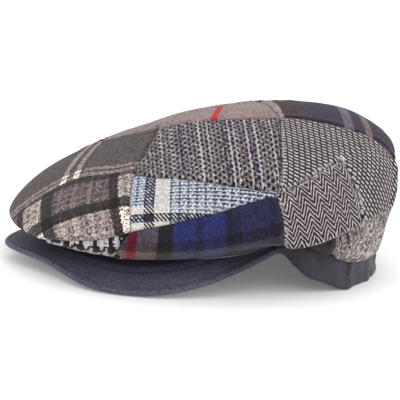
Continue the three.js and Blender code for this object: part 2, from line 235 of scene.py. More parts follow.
def seat_height(x, y):
    return SEAT_GAP + np.where(y < 0, peak_top(x, y), band_edges(np.maximum(y, 0))[1])


# Crown surface over a round map: 0 is the top, 1 is the hem, angle 0 is the front
def crown_table():
    half = CROWN_WIDTH / 2
    scale = (1, CROWN_FRONT, CROWN_REAR, half, CROWN_FRONT, 1, 1) + (CROWN_HEIGHT,) * 3
    rows = RINGS * scale
    rows = np.insert(rows, 6, rows[:, 5], axis=1)
    hem = (1, HEM_FRONT, BAND_BACK, BAND_SIDE, 0, HEM_POINT, 2, 1, 0, 0, 0)
    return np.vstack([hem, rows])[::-1]


CROWN_ROWS = crown_table()


def ring_plan(row, angle):
    c = np.cos(angle)
    s = np.sin(angle)
    ahead = c > 0
    power = np.where(ahead, row[..., 5], row[..., 6])
    x = row[..., 3] * signed_power(s, 2 / power)
    reach = np.where(ahead, row[..., 1] + row[..., 4], row[..., 2] - row[..., 4])
    return x, row[..., 4] - reach * signed_power(c, 2 / power)


def crown_at(s, angle):
    row = smooth_rows(CROWN_ROWS, rows_at(CROWN_ROWS[:, 0], s))
    x, y = ring_plan(row, angle)
    side = np.sin(angle) ** 2
    middle = (row[..., 8] + row[..., 10]) / 2
    z = middle + (row[..., 8] - row[..., 10]) / 2 * np.cos(angle) + (row[..., 9] - middle) * side
    hem_x, hem_y = ring_plan(np.broadcast_to(CROWN_ROWS[-1], row.shape), angle)
    z = z + row[..., 7] * seat_height(hem_x, hem_y)
    return np.stack([x, y, z], -1)


# Where normals are taken, and the steps on the map and in radians between which they are
INNER_MAP = (0.02, 0.995)
STEP = 0.004
TURN = 0.02


def crown_frame(u, v):
    """Points and outward normals of the crown at map places."""
    s = np.minimum(1, np.hypot(u, v))
    angle = np.arctan2(u, -v)
    point = crown_at(s, angle)
    near = np.clip(s, *INNER_MAP)
    down = crown_at(near + STEP, angle) - crown_at(near - STEP, angle)
    turn = crown_at(near, angle + TURN) - crown_at(near, angle - TURN)
    return point, unit(np.cross(down, turn))


# Seams on the map, across to the wearer's left and back from the front
PLAID_END = 17.0
SLIVER_END = 48.8
BLUE_END = 97.8
DARK_END = 116.4


def hem_point(degrees):
    a = math.radians(degrees)
    return (math.sin(a), -math.cos(a))


def hem_arc(start, end):
    return np.array([hem_point(d) for d in np.linspace(start, end, 61)])


def rounded(points):
    """A line with smooth bends through its points."""
    points = np.array(points, float)
    steps = np.linspace(0, len(points) - 1, SPLINE * (len(points) - 1) + 1)
    return smooth_rows(points, steps)


SEAM = {name: rounded(points) for name, points in {
    "front_top": [(0, -0.3), (0.02, -0.312), (0.088, -0.35), (0.212, -0.407), (0.301, -0.424)],
    "front_low": [(0.301, -0.424), (0.358, -0.436), (0.453, -0.44), (0.573, -0.435), (0.637, -0.427)],
    "sliver": [(0.637, -0.427), (0.601, -0.53), (0.546, -0.612), (0.468, -0.71), (0.379, -0.827),
               hem_point(PLAID_END)],
    "cheek": [(0.637, -0.427), (0.75, -0.568), hem_point(SLIVER_END)],
    "plaid_top": [(0.637, -0.427), (0.677, -0.285), (0.68, -0.141), (0.643, -0.006), (0.641, 0.017)],
    "check_top": [(0.301, -0.424), (0.405, -0.333), (0.535, -0.175), (0.609, -0.03), (0.617, 0.016)],
    "tip": [(0.617, 0.016), (0.641, 0.017)],
    "temple": [(0.641, 0.017), (0.722, 0.057), (0.798, 0.098), (0.925, 0.136)],
    "temple_low": [(0.925, 0.136), hem_point(BLUE_END)],
    "middle": [(0.153, 0.041), (0.392, 0.008), (0.617, 0.016)],
    "ridge_front": [(0.02, -0.312), (0.047, -0.24), (0.098, -0.16), (0.126, -0.058),
                    (0.153, 0.041)],
    "ridge_rear": [(0.153, 0.041), (0.223, 0.189), (0.257, 0.319), (0.278, 0.439), (0.294, 0.548)],
    "bone_top": [(0.641, 0.017), (0.546, 0.13), (0.46, 0.213)],
    "bone_rear": [(0.46, 0.213), (0.554, 0.31), (0.64, 0.447)],
    "fold_low": [(0.925, 0.136), (0.85, 0.228), (0.783, 0.301), (0.716, 0.373)],
    "fold_mid": [(0.716, 0.373), (0.64, 0.447)],
    "fold_rear": [(0.64, 0.447), (0.527, 0.553), (0.42, 0.638), (0.294, 0.548)],
    "back_edge": [(0.294, 0.548), (0, 0.575)],
    "patch_rear": [(0.716, 0.373), hem_point(DARK_END)],
    "strip": [(0.153, 0.041), (0, 0.045)],
}.items()}


def back(line):
    return line[::-1]


def mirror(line):
    return line * (-1, 1)


def join(*lines):
    return np.concatenate([lines[0]] + [line[1:] for line in lines[1:]])


def over(line):
    """A line from the middle to the near side, with its mirror image before it."""
    return join(mirror(back(line)), line)


def along(line, t):
    sums = run_lengths(line)
    want = np.clip(t, 0, 1) * sums[-1]
    return np.stack([np.interp(want, sums, line[:, k]) for k in (0, 1)], -1)


def patch_map(sides, a, b):
    """Places on the map of a four-sided patch, a across and b down."""
    top, bottom, left, right = (sides[key] for key in ("top", "bottom", "left", "right"))
    ruled = mix(along(top, a), along(bottom, a), b[..., None])
    ruled = ruled + mix(along(left, b), along(right, b), a[..., None])
    corner = mix(mix(top[0], top[-1], a[..., None]), mix(bottom[0], bottom[-1], a[..., None]),
                 b[..., None])
    return ruled - corner


TOP_HALF = join(SEAM["front_top"], SEAM["front_low"])
BACK_HALF = back(join(SEAM["fold_mid"], SEAM["fold_rear"], SEAM["back_edge"]))
PATCHES = {
    "front_plaid": dict(
        top=over(TOP_HALF),
        bottom=hem_arc(-PLAID_END, PLAID_END),
        left=mirror(SEAM["sliver"]),
        right=SEAM["sliver"],
        grain=((0.275, -0.474), (0.471, -0.49)),
    ),
    "ridge_grey": dict(
        top=np.array([(-0.02, -0.312), (0, -0.3), (0.02, -0.312)]),
        bottom=over(back(SEAM["strip"])),
        left=mirror(SEAM["ridge_front"]),
        right=SEAM["ridge_front"],
        grain=((0.0, -0.075), (0.1, -0.075)),
    ),
    "ridge_navy": dict(
        top=over(back(SEAM["strip"])),
        bottom=over(back(SEAM["back_edge"])),
        left=mirror(SEAM["ridge_rear"]),
        right=SEAM["ridge_rear"],
        grain=((0.0, 0.045), (0.2, 0.045)),
    ),
    "back_marl": dict(
        top=back(over(BACK_HALF)),
        bottom=hem_arc(DARK_END, 360 - DARK_END),
        left=SEAM["patch_rear"],
        right=mirror(SEAM["patch_rear"]),
        grain=((0.689, 0.491), (0.785, 0.57)),
        tucked=True,
    ),
}
SIDE_PATCHES = {
    "houndstooth": dict(
        top=back(SEAM["sliver"])[SPLINE:],
        bottom=hem_arc(PLAID_END, SLIVER_END),
        left=SEAM["sliver"][4 * SPLINE:],
        right=SEAM["cheek"],
        grain=((0.474, -0.697), (0.53, -0.765)),
    ),
    "blue_plaid": dict(
        top=SEAM["plaid_top"],
        bottom=hem_arc(SLIVER_END, BLUE_END),
        left=SEAM["cheek"],
        right=join(SEAM["temple"], SEAM["temple_low"]),
        grain=((0.658, -0.411), (0.775, -0.537)),
    ),
    "light_check": dict(
        top=SEAM["check_top"],
        bottom=SEAM["plaid_top"],
        left=SEAM["front_low"],
        right=SEAM["tip"],
        grain=((0.386, -0.368), (0.662, -0.355)),
    ),
    "glen_check": dict(
        top=SEAM["ridge_front"],
        bottom=SEAM["check_top"],
        left=SEAM["front_top"][SPLINE:],
        right=SEAM["middle"],
        grain=((0.128, -0.166), (0.525, -0.17)),
    ),
    "birdseye": dict(
        top=SEAM["ridge_rear"],
        bottom=join(SEAM["tip"], SEAM["bone_top"], SEAM["bone_rear"]),
        left=SEAM["middle"],
        right=back(SEAM["fold_rear"]),
        grain=((0.239, 0.088), (0.548, 0.089)),
        folds=("right",),
    ),
    "herringbone": dict(
        top=SEAM["bone_top"],
        bottom=join(SEAM["fold_low"], SEAM["fold_mid"]),
        left=SEAM["temple"],
        right=SEAM["bone_rear"],
        grain=((0.572, 0.116), (0.746, 0.289)),
        folds=("bottom",),
    ),
    "dark_patch": dict(
        top=SEAM["fold_low"],
        bottom=hem_arc(BLUE_END, DARK_END),
        left=SEAM["temple_low"],
        right=SEAM["patch_rear"],
        grain=((0.87, 0.262), (0.91, 0.292)),
        tucked=True,
    ),
}
ON_HEM = ("front_plaid", "back_marl", "houndstooth", "blue_plaid", "dark_patch")

# The head's centre lies this far behind the middle of the cap's box
SHIFT = np.array([0.0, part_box("back_band")[1].y * 1000 - BAND_BACK, 0.0])


def to_world(points):
    return (points + SHIFT) / 1000


# Meshes: edges sharper than SHARP degrees stay sharp, and NO_SEAM stands for far from any seam
SHARP = 50
NO_SEAM = 99.0


def grid_faces(rows, columns, start=0):
    i, j = np.meshgrid(np.arange(rows - 1), np.arange(columns - 1), indexing="ij")
    corner = (start + i * columns + j).ravel()
    return np.stack([corner, corner + 1, corner + columns + 1, corner + columns], 1)


def border(rows, columns):
    """Vertices round a grid, in order."""
    top = [(0, j) for j in range(columns - 1)]
    right = [(i, columns - 1) for i in range(rows - 1)]
    bottom = [(rows - 1, j) for j in range(columns - 1, 0, -1)]
    left = [(i, 0) for i in range(rows - 1, 0, -1)]
    return np.array([i * columns + j for i, j in top + right + bottom + left])


# Waves that add up to a soft unevenness
WAVES = 7


def wobble(points, size, seed):
    """Smooth ups and downs between about -1 and 1, size millimetres across."""
    rng = np.random.default_rng(seed)
    total = np.zeros(points.shape[:-1])
    for _ in range(WAVES):
        direction = unit(rng.normal(size=3))
        total += np.sin(points @ direction * (2 * math.pi / size) + rng.uniform(0, 6.28))
    return total / (WAVES / 2)


# Points each way in the coarse grid that is laid flat, the rounds that takes, and how far a
# point goes in a round, as a share of the mean push on it
COARSE = 25
ROUNDS = 500
EAGER = 1.5


def flatten(points):
    """Lays a grid of points out flat, as near as it can to its own lengths."""
    centre = points.reshape(-1, 3).mean(0)
    _, _, axes = np.linalg.svd(points.reshape(-1, 3) - centre, full_matrices=False)
    flat = (points - centre) @ axes[:2].T
    pairs = []
    for di, dj in ((0, 1), (1, 0), (1, 1), (1, -1)):
        rows, columns = points.shape[:2]
        a = (slice(0, rows - di), slice(0, columns - dj) if dj >= 0 else slice(1, columns))
        b = (slice(di, rows), slice(dj, columns) if dj >= 0 else slice(0, columns - 1))
        pairs.append((a, b, length(points[b] - points[a])))
    for _ in range(ROUNDS):
        push = np.zeros_like(flat)
        count = np.zeros(flat.shape[:2] + (1,))
        for a, b, rest in pairs:
            gap = flat[b] - flat[a]
            now = length(gap)
            move = gap * (0.5 * (now - rest) / np.maximum(now, 1e-6))[..., None]
            push[a] += move
            push[b] -= move
            count[a] += 1
            count[b] += 1
        flat += EAGER * push / count
    return flat


def resample(grid, a, b):
    """A smooth curve through a coarse grid, read at finer rows b and columns a."""
    rows, columns, depth = grid.shape
    down = smooth_rows(grid.reshape(rows, -1), b * (rows - 1)).reshape(len(b), columns, depth)
    side = down.transpose(1, 0, 2).reshape(columns, -1)
    return smooth_rows(side, a * (columns - 1)).reshape(len(a), len(b), depth).transpose(1, 0, 2)


# A turn of this many radians on a side counts as a sharp corner, unless it lies this share of
# the side or less from an end
CORNER = 0.35
CORNER_END = 0.004


def stops(count, *lines):
    """Even steps with a stop at every sharp corner of the facing sides."""
    corners = []
    for line in lines:
        step = np.diff(line, axis=0)
        sums = np.cumsum(length(step)) / length(step).sum()
        turn = np.abs(np.arctan2(step[:-1, 0] * step[1:, 1] - step[:-1, 1] * step[1:, 0],
                                 (step[:-1] * step[1:]).sum(1)))
        corners += [sums[i] for i in range(len(turn)) if turn[i] > CORNER]
    knots = sorted({0.0, 1.0, *(c for c in corners if CORNER_END < c < 1 - CORNER_END)})
    parts = []
    for start, end in zip(knots, knots[1:]):
        if end - start < 1e-6:
            continue
        parts.append(np.linspace(start, end, max(2, round(count * (end - start))) + 1)[:-1])
    return np.concatenate(parts + [[1.0]])


def edge_distances(points):
    """How far each grid point is from each of the four sides."""
    sides = dict(top=points[0], bottom=points[-1], left=points[:, 0], right=points[:, -1])
    flat = points.reshape(-1, 3)
    found = {}
    for name, line in sides.items():
        best = np.full(len(flat), 1e9)
        for point in line:
            best = np.minimum(best, ((flat - point) ** 2).sum(1))
        found[name] = np.sqrt(best).reshape(points.shape[:2])
    return found


def placed(name, data):
    """A new object in the scene."""
    made = bpy.data.objects.new(name, data)
    bpy.context.scene.collection.objects.link(made)
    return made


def make_mesh(name, points, faces, uvs, slots=None, seam=None):
    """One object from points in millimetres, faces, and a dict of UV maps given per corner."""
    mesh = bpy.data.meshes.new(name)
    mesh.from_pydata(to_world(points).tolist(), [], [list(map(int, f)) for f in faces])
    for key, values in uvs.items():
        layer = mesh.uv_layers.new(name=key)
        layer.data.foreach_set("uv", np.asarray(values, np.float32).ravel())
    if slots is not None:
        mesh.polygons.foreach_set("material_index", np.asarray(slots, np.int32))
    if seam is None:
        seam = np.full(len(points), NO_SEAM)
    layer = mesh.attributes.new("seam", "FLOAT", "POINT")
    layer.data.foreach_set("value", np.asarray(seam, np.float32))
    mesh.polygons.foreach_set("use_smooth", np.ones(len(mesh.polygons), bool))
    mesh.set_sharp_from_angle(angle=math.radians(SHARP))
    mesh.update()
    return placed(name, mesh)


# Places on the bake map: across all of it, then from and to for each face, and the rim's two edges
BAKE_ACROSS = (0.01, 0.99)
BAKE_FACE = (0.99, 0.16)
BAKE_LINING = (0.12, 0.01)
BAKE_RIM = (0.148, 0.13)


def two_skins(name, outer, inner, layout, a, b, seam=None):
    """A closed sheet from an outer and an inner grid, with its weave and bake maps."""
    rows, columns = outer.shape[:2]
    half = rows * columns
    front = grid_faces(rows, columns)
    rear = grid_faces(rows, columns, half)[:, ::-1]
    ring = border(rows, columns)
    after = np.roll(ring, -1)
    rim = np.stack([after, ring, ring + half, after + half], 1)
    faces = np.concatenate([front, rear, rim])
    points = np.concatenate([outer.reshape(-1, 3), inner.reshape(-1, 3)])
    normal = np.cross(outer[0, 1] - outer[0, 0], outer[1, 0] - outer[0, 0])
    if np.dot(normal, outer[0, 0] - inner[0, 0]) > 0:
        faces = faces[:, ::-1]
    layouts = np.concatenate([layout.reshape(-1, 2)] * 2)
    across, down = np.meshgrid(a, b)
    bake = [np.stack([mix(*BAKE_ACROSS, across), mix(*heights, down)], -1).reshape(-1, 2)
            for heights in (BAKE_FACE, BAKE_LINING)]
    corners = faces.ravel()
    bake_uv = np.concatenate(bake)[corners]
    share = np.zeros(half)
    share[ring] = np.arange(len(ring)) / len(ring)
    on_rim = corners[-rim.size:]
    bake_uv[-rim.size:, 0] = mix(*BAKE_ACROSS, share[on_rim % half])
    bake_uv[-rim.size:, 1] = np.where(on_rim < half, *BAKE_RIM)
    uvs = {"weave": layouts[corners], "OFBake": bake_uv}
    slots = np.concatenate([np.zeros(len(front)), np.ones(len(rear)), np.zeros(len(rim))])
    if seam is not None:
        seam = np.concatenate([seam.ravel()] * 2)
    return make_mesh(name, points, faces, uvs, slots, seam)


def drawn_in(point, gap, folds, free):
    """The grid with its seams drawn in by half the gap, and its folds laid over."""
    across = np.gradient(point, axis=1)
    down = np.gradient(point, axis=0)
    moved = point.copy()
    for side, inward in dict(left=across, right=-across, top=down, bottom=-down).items():
        if side == free:
            continue
        pull = SEAM_GAP / 2 * hump(gap[side], CELL)
        if side in folds:
            pull = -FOLD_OVER * hump(gap[side], FOLD_OVER_WIDE)
        moved += unit(inward) * pull[..., None]
    return moved


def cloth_lift(point, gap, folds, free, tucked, seed):
    """Height of the cloth over the plain crown: unevenness, seams, puckers, folds and hem."""
    lift = sum(height * wobble(point, size, seed + step) for height, size, step in UNEVEN)
    for side, distance in gap.items():
        if side == free:
            lift = lift - HEM_DROP * hump(distance, HEM_WIDE)
        elif side in folds:
            swell = FOLD_SWELL * hump(distance, FOLD_WIDE, FOLD_AT)
            lift = lift + swell - FOLD_EDGE * hump(distance, FOLD_EDGE_WIDE)
        elif side == "top" and tucked:
            lift = lift - FOLD_TUCK * hump(distance, FOLD_TUCK_WIDE)
        else:
            seam = SEAM_DEPTH * hump(distance, SEAM_WIDE)
            swell = SWELL * hump(distance, SWELL_WIDE, SWELL_AT)
            pucker = PUCKER * wobble(point, PUCKER_SIZE, seed + 2) * hump(distance, PUCKER_WIDE)
            lift = lift - seam + swell + pucker
    return lift


def weave_map(grain, flat, places, point, normal):
    """The flat layout turned so that the grain runs along V and starts at its first point."""
    ends = []
    for end in grain:
        distance = np.hypot(places[..., 0] - end[0], places[..., 1] - end[1])
        ends.append(np.unravel_index(distance.argmin(), distance.shape))
    origin = flat[ends[0]]
    run = unit(flat[ends[1]] - origin)
    i, j = (min(place, size - 2) for place, size in zip(ends[0], flat.shape))
    step_u = flat[i, j + 1] - flat[i, j]
    step_v = flat[i + 1, j] - flat[i, j]
    facing = np.dot(np.cross(point[i, j + 1] - point[i, j], point[i + 1, j] - point[i, j]),
                    normal[i, j])
    turned = np.sign(step_u[0] * step_v[1] - step_u[1] * step_v[0]) * np.sign(facing)
    across = np.array([run[1], -run[0]]) * turned * -1
    return np.stack([(flat - origin) @ across, (flat - origin) @ run], -1)


def cloth_patch(name, patch, seed):
    """A sewn patch with a flat layout of its own for the weave."""
    tucked = patch.get("tucked", False)
    folds = patch.get("folds", ())
    free = "bottom" if patch["base"] in ON_HEM else None
    t = np.linspace(0, 1, COARSE)
    coarse_map = patch_map(patch, *np.meshgrid(t, t))
    coarse, _ = crown_frame(coarse_map[..., 0], coarse_map[..., 1])
    width = length(np.diff(coarse, axis=1)).sum(1).max()
    height = length(np.diff(coarse, axis=0)).sum(0).max()
    a = stops(width / CELL, patch["top"], patch["bottom"])
    b = stops(height / CELL, patch["left"], patch["right"])
    grid_a, grid_b = np.meshgrid(a, b)
    places = patch_map(patch, grid_a, grid_b)
    point, normal = crown_frame(places[..., 0], places[..., 1])
    gap = edge_distances(point)
    moved = drawn_in(point, gap, folds, free)
    outer = moved + normal * cloth_lift(point, gap, folds, free, tucked, seed)[..., None]
    inner = moved - normal * CLOTH
    if tucked:
        sink = (TUCK_SINK * (1 - grid_b))[..., None]
        under = FOLD_TUCK * hump(gap["top"], FOLD_TUCK_WIDE)
        outer = outer - normal * sink
        inner = inner - normal * (sink + under[..., None])
    flat = resample(flatten(coarse), a, b)
    layout = weave_map(patch["grain"], flat, places, point, normal)
    nearest = np.min([distance for side, distance in gap.items() if side != free], axis=0)
    return two_skins(name, outer, inner, layout, a, b, nearest)


def all_patches():
    for name, patch in PATCHES.items():
        yield name, dict(patch, base=name)
    for name, patch in SIDE_PATCHES.items():
        yield f"{name}_left", dict(patch, base=name)
        far = {key: mirror(patch[key]) for key in ("top", "bottom", "left", "right")}
        far["grain"] = tuple((-u, v) for u, v in patch["grain"])
        for key in ("folds", "tucked"):
            if key in patch:
                far[key] = patch[key]
        yield f"{name}_right", dict(far, base=name)


# Peak: a leather leaf with a turned rim, and a bead and a groove along it
PEAK_COLUMNS = 260
PEAK_ROWS = 56
PEAK_CROWDING = 1.35
RIM_STEPS = 8
BEAD = 0.22
BEAD_AT = 2.2
BEAD_WIDE = 1.5
GROOVE = 0.22
GROOVE_AT = 4.9
GROOVE_WIDE = 0.9
PEAK_SOFT = 0.25
PEAK_SOFT_SIZE = 38
PEAK_SOFT_FROM = 12
PEAK_SEED = 5
BAKE_PEAK_TOP = (0.99, 0.3)
BAKE_PEAK_UNDER = (0.29, 0.06)
BAKE_PEAK_HEAD = (0.02, 0.05)


def on_peak(x, y):
    return np.stack([x, y, peak_top(x, y)], -1)


def peak_piece():
    t = np.linspace(-1, 1, PEAK_COLUMNS + 1)
    outer_x, outer_y = peak_edge(t)
    inner_x = HEAD_WIDTH / 2 * np.sin(t * math.pi / 2)
    inner_y = -HEAD_LENGTH / 2 * np.cos(t * math.pi / 2)
    depth = np.maximum(1, np.hypot(outer_x - inner_x, outer_y - inner_y))
    half = PEAK_THICK / 2
    rim = half / depth
    shares = 1 - (1 - np.linspace(0, 1, PEAK_ROWS + 1)) ** PEAK_CROWDING
    lines = []
    for share in shares:
        part = share * (1 - rim)
        x, y = peak_plan(t, part)
        away = (1 - part) * depth
        bead = BEAD * hump(away, BEAD_WIDE, BEAD_AT)
        groove = GROOVE * hump(away, GROOVE_WIDE, GROOVE_AT)
        normal = peak_normal(x, y)
        point = on_peak(x, y)
        soft = PEAK_SOFT * wobble(point, PEAK_SOFT_SIZE, PEAK_SEED)
        soft = soft * np.clip(away / PEAK_SOFT_FROM, 0, 1)
        lines.append(point + normal * (bead - groove + soft)[:, None])
    x, y = peak_plan(t, 1 - rim)
    normal = peak_normal(x, y)
    middle = on_peak(x, y) - normal * half
    ahead = unit(np.stack([outer_x - inner_x, outer_y - inner_y, np.zeros_like(t)], -1))
    ahead = unit(ahead - normal * (ahead * normal).sum(-1, keepdims=True))
    for k in range(1, RIM_STEPS):
        angle = math.pi / 2 - math.pi * k / RIM_STEPS
        lines.append(middle + ahead * half * math.cos(angle) + normal * half * math.sin(angle))
    under = []
    for share in shares[::-2]:
        x, y = peak_plan(t, share * (1 - rim))
        under.append(on_peak(x, y) - peak_normal(x, y) * PEAK_THICK)
    grid = np.stack(lines + under, 1)
    grid[..., 1] = np.minimum(grid[..., 1], 0)
    columns, rows = grid.shape[:2]
    around = run_lengths(grid)
    faces = grid_faces(columns, rows)
    ids = np.arange(columns * rows).reshape(columns, rows)
    inner_edge = np.stack([ids[1:, 0], ids[:-1, 0], ids[:-1, -1], ids[1:, -1]], 1)
    faces = np.concatenate([faces, inner_edge])
    arc = np.concatenate([[0], np.cumsum(np.hypot(np.diff(outer_x), np.diff(outer_y)))])
    u = np.broadcast_to(arc[:, None] - arc[-1] / 2, around.shape)
    down = np.concatenate([np.linspace(*BAKE_PEAK_TOP, len(lines)),
                           np.linspace(*BAKE_PEAK_UNDER, len(under))])
    bake = np.stack(np.broadcast_arrays(np.linspace(*BAKE_ACROSS, columns)[:, None],
                                        down[None, :]), -1).reshape(-1, 2)
    layout = np.stack([u, around], -1).reshape(-1, 2)
    corners = faces.ravel()
    bake_uv = bake[corners]
    closing = 4 * (columns - 1) * (rows - 1)
    low = np.isin(corners[closing:], ids[:, -1])
    bake_uv[closing:, 1] = np.where(low, *BAKE_PEAK_HEAD)
    uvs = {"weave": layout[corners], "OFBake": bake_uv}
    return make_mesh("peak_leaf", grid.reshape(-1, 3), faces[:, ::-1], {
        key: value.reshape(-1, 4, 2)[:, ::-1].reshape(-1, 2) for key, value in uvs.items()})


# Band: soft creased leather with rounded edges
BAND_COLUMNS = 300
BAND_ROWS = 26
BAND_PROUD = 0.5
BAND_EDGE_DROP = 1.1
BAND_EDGE_WIDE = 1.1
BAND_CREASES = (
    # height, stretch upwards, size, seed
    (0.7, 0.45, 19, 11),
    (0.6, 1.6, 11, 12),
)


def band_piece():
    start = SEAT_GAP / BAND_BACK
    t = np.linspace(0, 1, BAND_COLUMNS + 1)
    angle = mix(math.pi / 2 + start, 3 * math.pi / 2 - start, t)
    c = -np.cos(angle)
    s = np.sin(angle)
    low, high = band_edges(BAND_BACK * c)
    j = np.linspace(0, 1, BAND_ROWS + 1)
    x = np.broadcast_to((BAND_SIDE * s)[None, :], (len(j), len(t)))
    y = np.broadcast_to(np.maximum(SEAT_GAP, BAND_BACK * c)[None, :], x.shape)
    z = mix(low[None, :], high[None, :], j[:, None])
    point = np.stack([x, y, z], -1)
    normal = unit(np.stack([x / BAND_SIDE ** 2, y / BAND_BACK ** 2, np.zeros_like(x)], -1))
    along_arc = np.broadcast_to(run_lengths(point[0])[None, :], x.shape)
    edge = np.minimum(z - low[None, :], high[None, :] - z)
    lift = BAND_PROUD - BAND_EDGE_DROP * hump(edge, BAND_EDGE_WIDE)
    for crease, stretch, size, seed in BAND_CREASES:
        lift = lift + crease * wobble(point * (1, 1, stretch), size, seed)
    outer = point + normal * lift[..., None]
    inner = point - normal * BAND_THICK
    layout = np.stack([along_arc, z], -1)
    return two_skins("band_leather", outer[::-1], inner[::-1], layout[::-1], t, j)


# Materials: colours are written as they look on the screen under the studio light
STUDIO = 1.38


def rgb(red, green, blue):
    """Colour for a shader socket from screen values 0 to 255."""
    def linear(c):
        c = c / 255
        return (c / 12.92 if c <= 0.04045 else ((c + 0.055) / 1.055) ** 2.4) / STUDIO
    return (linear(red), linear(green), linear(blue), 1.0)


def math_step(operation, flipped=False):
    """A method that puts one math node after a number."""
    def step(self, *others):
        values = (*others, self) if flipped else (self, *others)
        return self.finish.math(operation, *values)
    return step


class Wire:
    """A number that runs through shader nodes."""

    def __init__(self, finish, socket):
        self.finish = finish
        self.socket = socket

    __add__ = __radd__ = math_step("ADD")
    __sub__ = math_step("SUBTRACT")
    __rsub__ = math_step("SUBTRACT", flipped=True)
    __mul__ = __rmul__ = math_step("MULTIPLY")
    __truediv__ = math_step("DIVIDE")
    __mod__ = math_step("FLOORED_MODULO")
    floor = math_step("FLOOR")
    part = math_step("FRACT")
    size = math_step("ABSOLUTE")
    below = math_step("LESS_THAN")
    above = math_step("GREATER_THAN")
    larger = math_step("MAXIMUM")
    smaller = math_step("MINIMUM")
    wave = math_step("SINE")
    exponent = math_step("EXPONENT")


class Finish:
    """A material under construction."""

    def __init__(self, name):
        self.material = bpy.data.materials.new(name)
        self.material.use_nodes = True
        self.tree = self.material.node_tree
        self.tree.nodes.clear()
        self.output = self.tree.nodes.new("ShaderNodeOutputMaterial")
        self.shader = self.tree.nodes.new("ShaderNodeBsdfPrincipled")
        self.tree.links.new(self.shader.outputs[0], self.output.inputs[0])
        uv = self.node("ShaderNodeUVMap", {}, uv_map="weave")
        split = self.node("ShaderNodeSeparateXYZ", {0: uv.outputs[0]})
        self.u = Wire(self, split.outputs[0])
        self.v = Wire(self, split.outputs[1])
        seam = self.node("ShaderNodeAttribute", {}, attribute_name="seam")
        self.seam = Wire(self, seam.outputs["Fac"])

    def feed(self, node, inputs):
        """Links or sets each input of a node."""
        for key, value in inputs.items():
            value = value.socket if isinstance(value, Wire) else value
            if isinstance(value, bpy.types.NodeSocket):
                self.tree.links.new(value, node.inputs[key])
            else:
                node.inputs[key].default_value = value
        return node

    def node(self, kind, inputs, **settings):
        made = self.tree.nodes.new(kind)
        for key, value in settings.items():
            setattr(made, key, value)
        return self.feed(made, inputs)

    def math(self, operation, *values):
        made = self.node("ShaderNodeMath", dict(enumerate(values)), operation=operation)
        return Wire(self, made.outputs[0])

    def blend(self, share, first, second, kind="MIX"):
        """One colour or the other by share, or both mixed in another way."""
        made = self.node("ShaderNodeMix", {0: share, 6: first, 7: second}, data_type="RGBA",
                         blend_type=kind)
        return Wire(self, made.outputs[2])

    def place(self, u, v, w=0.0):
        return self.node("ShaderNodeCombineXYZ", {0: u, 1: v, 2: w}).outputs[0]

    def grey(self, value):
        return self.place(value, value, value)

    def shade(self, colour, factor):
        """A colour made lighter or darker by a number."""
        return self.blend(1.0, colour, self.grey(factor), "MULTIPLY")

    def noise(self, u, v, size, detail=2.0, rough=0.5, w=0.0):
        """Cloudy noise between 0 and 1, size millimetres across; w picks another cloud."""
        made = self.node("ShaderNodeTexNoise", {
            "Vector": self.place(u, v, w), "Scale": 1 / size, "Detail": detail,
            "Roughness": rough})
        return Wire(self, made.outputs[0])

    def random(self, u, v=0.0):
        made = self.node("ShaderNodeTexWhiteNoise", {"Vector": self.place(u, v)})
        return Wire(self, made.outputs[0])

    def cells(self, u, v, size, feature="F1"):
        made = self.node("ShaderNodeTexVoronoi", {
            "Vector": self.place(u, v), "Scale": 1 / size, "Randomness": 1.0},
            feature=feature)
        return Wire(self, made.outputs[0])

    def bars(self, where, start, period, steps):
        """Stripes that repeat: steps is a list of places in millimetres after start, and colours."""
        made = self.tree.nodes.new("ShaderNodeValToRGB")
        ramp = made.color_ramp
        ramp.interpolation = "CONSTANT"
        for element, (place, colour) in zip(ramp.elements, (steps[0], steps[-1])):
            element.position = place / period
            element.color = colour
        for place, colour in steps[1:-1]:
            ramp.elements.new(place / period).color = colour
        self.feed(made, {0: ((where - start) / period).part()})
        return Wire(self, made.outputs[0])

    def done(self, colour, height, depth, rough=0.9, sheen=0.0, gloss=0.08):
        """Connects the colour and the bump, depth in millimetres, and sets the even values."""
        bump = self.node("ShaderNodeBump", {
            "Height": height, "Distance": depth / 1000, "Strength": 1.0})
        self.feed(self.shader, {
            "Normal": bump.outputs[0], "Base Color": colour, "Roughness": rough,
            "Specular IOR Level": gloss, "Sheen Weight": sheen, "Sheen Roughness": 0.5})
        return self.material


def weave(name, amount, size):
    """A new finish, and weave coordinates that wander a little, as real threads do."""
    f = Finish(name)
    u, v = f.u, f.v
    shift_u, shift_v = ((f.noise(u, v, size, w=w) - 0.5) * (4 * amount) for w in (3.1, 17.7))
    return f, u + shift_u, v + shift_v


def inside(where, low, high):
    return where.above(low) * where.below(high)


def clipped(wire, low=0.0, high=1.0):
    return wire.larger(low).smaller(high)


def rising(where, start, steep):
    """From 0 at start up to 1, steeply or slowly."""
    return clipped((where - start) * steep)


def hill(where, centre, width):
    """A smooth bump between 0 and 1."""
    away = (where - centre) / width
    return (away * away * -1.0).exponent()


def ribs(where, pitch):
    """Round threads side by side, as a height between 0 and 1."""
    return ((where / pitch).part() * math.pi).wave()


def stroke(repeat, half, sharp):
    """1 within half of the middle of a repeat, with a soft edge."""
    return clipped((half - (repeat - 0.5).size()) * sharp)


def dots(u, v, wide, tall, limit):
    """Round dots on a grid, wide and tall millimetres apart."""
    grid = (u * (2 * math.pi / wide)).wave() + (v * (2 * math.pi / tall)).wave()
    return grid.above(limit)


def tufts(finish, u, v, size, limit, at, layer):
    """Loose ends that stand up beside the seams."""
    cloud = finish.noise(u, v, size, w=layer)
    return rising(cloud, limit, 12.0) * hill(finish.seam, at, 1.1)


def levels(finish, where, start, period, steps):
    """A stripe layout given as starts in millimetres and brightness factors."""
    greys = [(place - start, (value, value, value, 1.0)) for place, value in steps]
    return finish.bars(where, start, period, greys)


